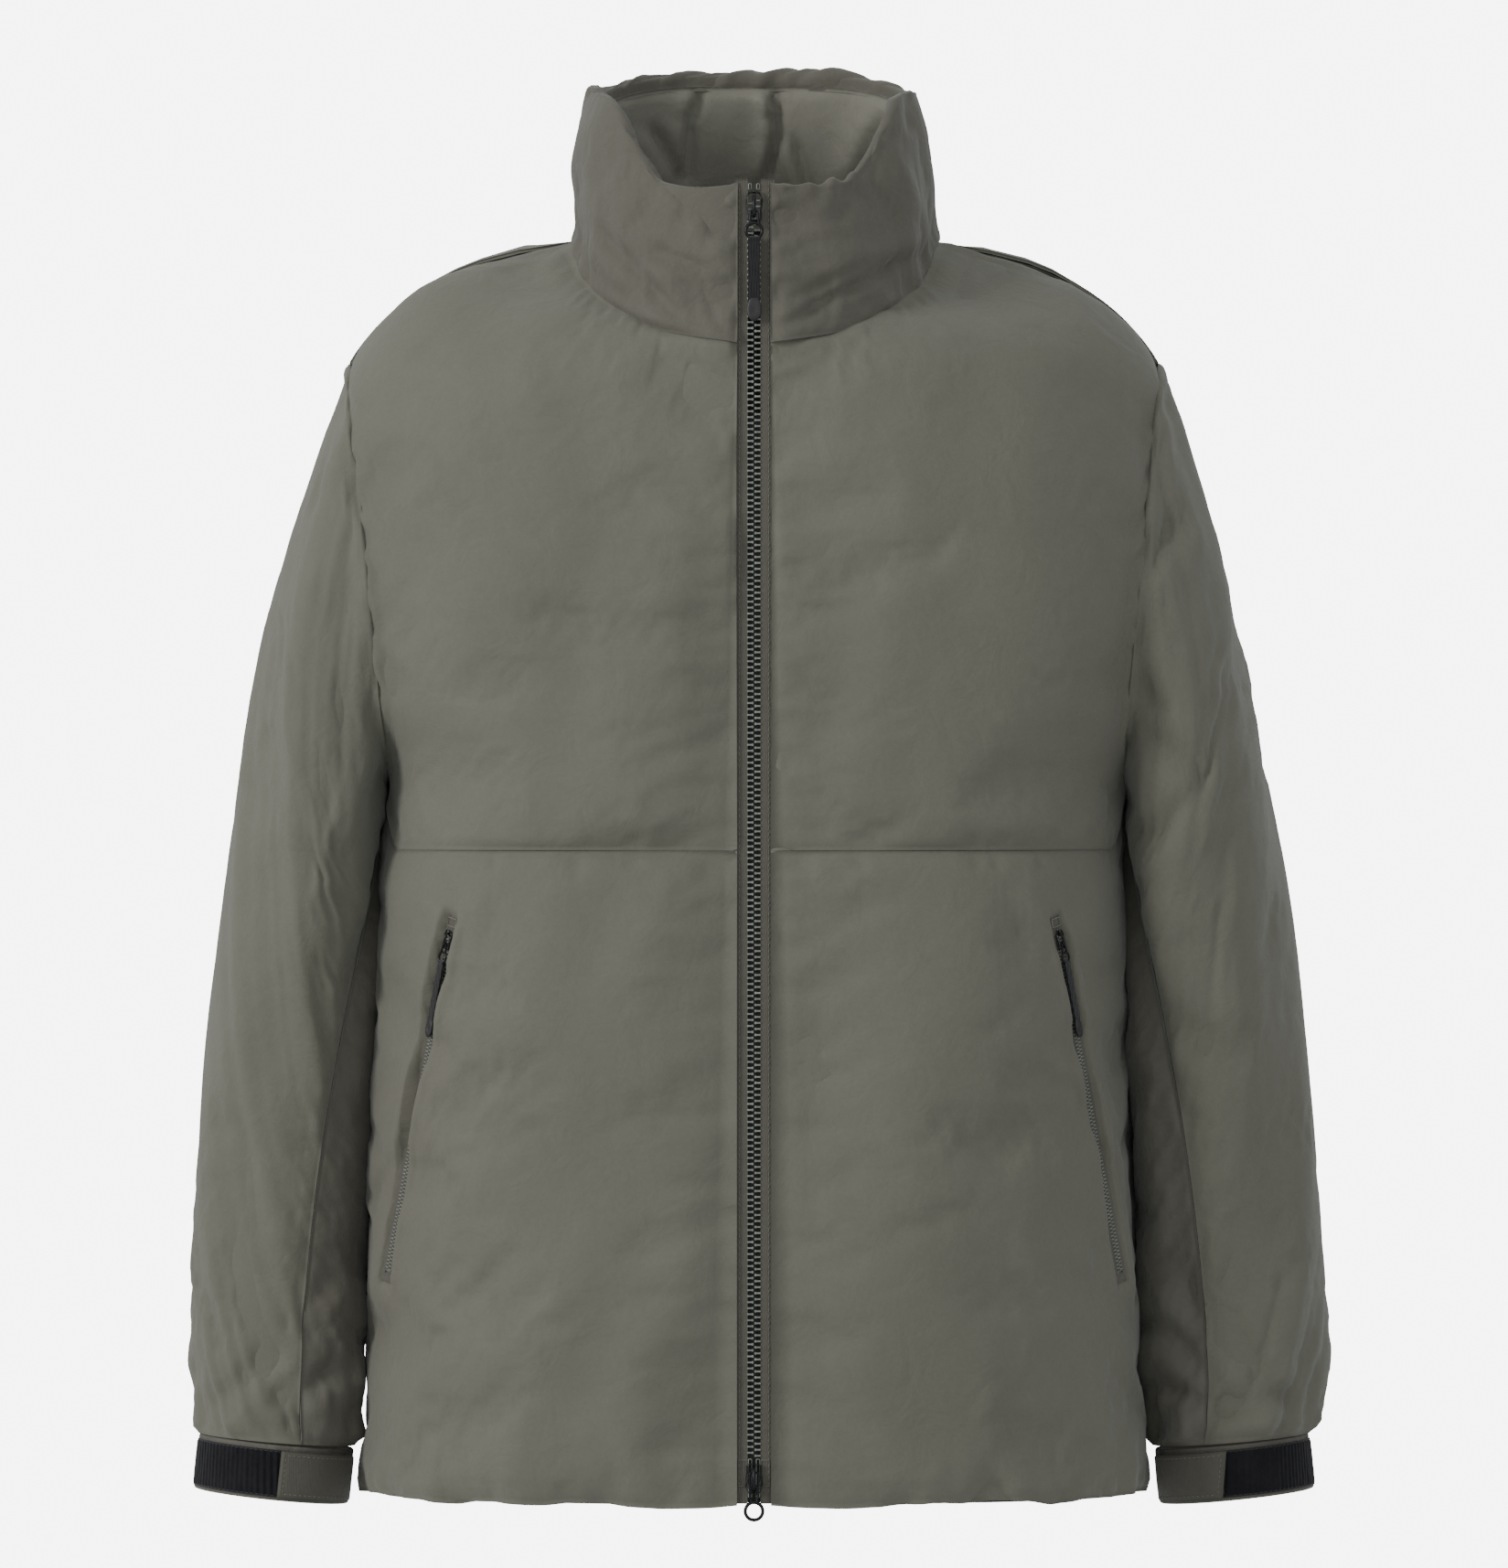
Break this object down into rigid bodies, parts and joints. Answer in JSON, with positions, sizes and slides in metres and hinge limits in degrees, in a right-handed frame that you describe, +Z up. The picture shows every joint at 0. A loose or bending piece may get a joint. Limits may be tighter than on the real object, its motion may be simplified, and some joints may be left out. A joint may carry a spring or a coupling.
{
  "type": "insulated jacket",
  "caption": "Padded stand-collar jacket with a two-way front zip, zipped hand pockets and hook-and-loop cuff tabs.",
  "frame": {"origin": "middle of the neck base, level with the point where the shoulder seam meets the collar", "axes": "+Z up, the front faces -Y, +X is the wearer's left"},
  "size_m": [0.6138, 0.2777, 0.7835],
  "materials": {
    "shell": "matte nylon, padded",
    "lining": "satin nylon",
    "shell_shade": "matte nylon, padded",
    "elastic": "knitted elastic",
    "collar": "matte nylon, padded",
    "webbing": "woven",
    "hook_loop": "hook and loop",
    "cuff_tab": "matte",
    "tape": "woven tape",
    "teeth": "satin",
    "film": "satin film",
    "slider": "black",
    "wire": "black",
    "moulded": "matte",
    "garage": "bonded patch"
  },
  "bodies": {
    "jacket": {"chest_panel_left": "shell", "lower_front_left": "shell", "lining_front_left": "lining", "pocket_bag_left": "lining", "chest_panel_right": "shell", "lower_front_right": "shell", "lining_front_right": "lining", "pocket_bag_right": "lining", "back_panel": "shell_shade", "lining_back": "lining", "hem_elastic": "elastic", "collar_shell": "collar", "collar_lining": "lining", "hanger_loop": "webbing", "front_tape_left": "tape", "front_chain_left": "teeth", "front_stop_left": "teeth", "front_pin_left": "teeth", "front_film_left": "film", "front_tape_right": "tape", "front_chain_right": "teeth", "front_stop_right": "teeth", "front_pin_right": "teeth", "front_film_right": "film", "zip_guard": "lining", "pocket_tape_left": "tape", "pocket_chain_left": "teeth", "pocket_garage_left": "garage", "pocket_tape_right": "tape", "pocket_chain_right": "teeth", "pocket_garage_right": "garage"},
    "sleeve_left": {"sleeve_upper_left": "shell", "sleeve_under_left": "shell_shade", "lining_sleeve_left": "lining", "cuff_band_left": "shell_shade", "cuff_loop_patch_left": "hook_loop"},
    "cuff_tab_left": {"cuff_tab_left": "cuff_tab", "cuff_hook_patch_left": "hook_loop"},
    "pocket_slider_left": {"pocket_slider_left": "slider"},
    "pocket_ring_left": {"pocket_ring_left": "wire"},
    "pocket_pull_left": {"pocket_webbing_left": "webbing", "pocket_pull_end_left": "moulded"},
    "sleeve_right": {"sleeve_upper_right": "shell", "sleeve_under_right": "shell_shade", "lining_sleeve_right": "lining", "cuff_band_right": "shell_shade", "cuff_loop_patch_right": "hook_loop"},
    "cuff_tab_right": {"cuff_tab_right": "cuff_tab", "cuff_hook_patch_right": "hook_loop"},
    "pocket_slider_right": {"pocket_slider_right": "slider"},
    "pocket_ring_right": {"pocket_ring_right": "wire"},
    "pocket_pull_right": {"pocket_webbing_right": "webbing", "pocket_pull_end_right": "moulded"},
    "front_slider_top": {"front_slider_top": "slider"},
    "front_ring_top": {"front_ring_top": "wire"},
    "front_pull_top": {"front_webbing_top": "webbing", "front_pull_end_top": "moulded"},
    "front_slider_bottom": {"front_slider_bottom": "slider"},
    "front_pull_bottom": {"front_pull_bottom": "wire"}
  },
  "joints": [
    {"name": "sleeve_left_swing", "type": "hinge", "parent": "jacket", "child": "sleeve_left", "pos_m": [0.2115, -0.005, -0.185], "axis": [0.995, 0, -0.0995], "range_deg": [-20, 12]},
    {"name": "sleeve_right_swing", "type": "hinge", "parent": "jacket", "child": "sleeve_right", "pos_m": [-0.2115, -0.005, -0.185], "axis": [0.995, 0, 0.0995], "range_deg": [-20, 12]},
    {"name": "front_slider_top_slide", "type": "slide", "parent": "jacket", "child": "front_slider_top", "axis": [0, -0.0703, -0.9975], "range_m": [0, 0.48]},
    {"name": "front_ring_top_swing", "type": "hinge", "parent": "front_slider_top", "child": "front_ring_top", "pos_m": [0, -0.10551, 0.00978], "axis": [-1, 0, 0], "range_deg": [0, 75]},
    {"name": "front_pull_top_swing", "type": "hinge", "parent": "front_ring_top", "child": "front_pull_top", "pos_m": [0, -0.10656, -0.00518], "axis": [-1, 0, 0], "range_deg": [0, 75]},
    {"name": "front_slider_bottom_slide", "type": "slide", "parent": "jacket", "child": "front_slider_bottom", "axis": [0, 0.0703, 0.9975], "range_m": [0, 0.12]},
    {"name": "front_pull_bottom_swing", "type": "hinge", "parent": "front_slider_bottom", "child": "front_pull_bottom", "pos_m": [0, -0.15301, -0.66395], "axis": [-1, 0, 0], "range_deg": [0, 75]},
    {"name": "pocket_slider_left_slide", "type": "slide", "parent": "jacket", "child": "pocket_slider_left", "axis": [0.1834, 0.1408, -0.9729], "range_m": [0, 0.165]},
    {"name": "pocket_ring_left_swing", "type": "hinge", "parent": "pocket_slider_left", "child": "pocket_ring_left", "pos_m": [0.16556, -0.10581, -0.38262], "axis": [-0.6477, -0.7272, -0.2273], "range_deg": [0, 60]},
    {"name": "pocket_pull_left_swing", "type": "hinge", "parent": "pocket_ring_left", "child": "pocket_pull_left", "pos_m": [0.16758, -0.10426, -0.39332], "axis": [-0.6477, -0.7272, -0.2273], "range_deg": [0, 60]},
    {"name": "pocket_slider_right_slide", "type": "slide", "parent": "jacket", "child": "pocket_slider_right", "axis": [-0.1834, 0.1408, -0.9729], "range_m": [0, 0.165]},
    {"name": "pocket_ring_right_swing", "type": "hinge", "parent": "pocket_slider_right", "child": "pocket_ring_right", "pos_m": [-0.16556, -0.10581, -0.38262], "axis": [-0.6477, 0.7272, 0.2273], "range_deg": [0, 60]},
    {"name": "pocket_pull_right_swing", "type": "hinge", "parent": "pocket_ring_right", "child": "pocket_pull_right", "pos_m": [-0.16758, -0.10426, -0.39332], "axis": [-0.6477, 0.7272, 0.2273], "range_deg": [0, 60]},
    {"name": "cuff_tab_left_open", "type": "hinge", "parent": "sleeve_left", "child": "cuff_tab_left", "pos_m": [0.21917, -0.03936, -0.67433], "axis": [0.1045, 0, -0.9945], "range_deg": [0, 50]},
    {"name": "cuff_tab_right_open", "type": "hinge", "parent": "sleeve_right", "child": "cuff_tab_right", "pos_m": [-0.21917, -0.03936, -0.67433], "axis": [0.1045, 0, 0.9945], "range_deg": [0, 50]}
  ]
}
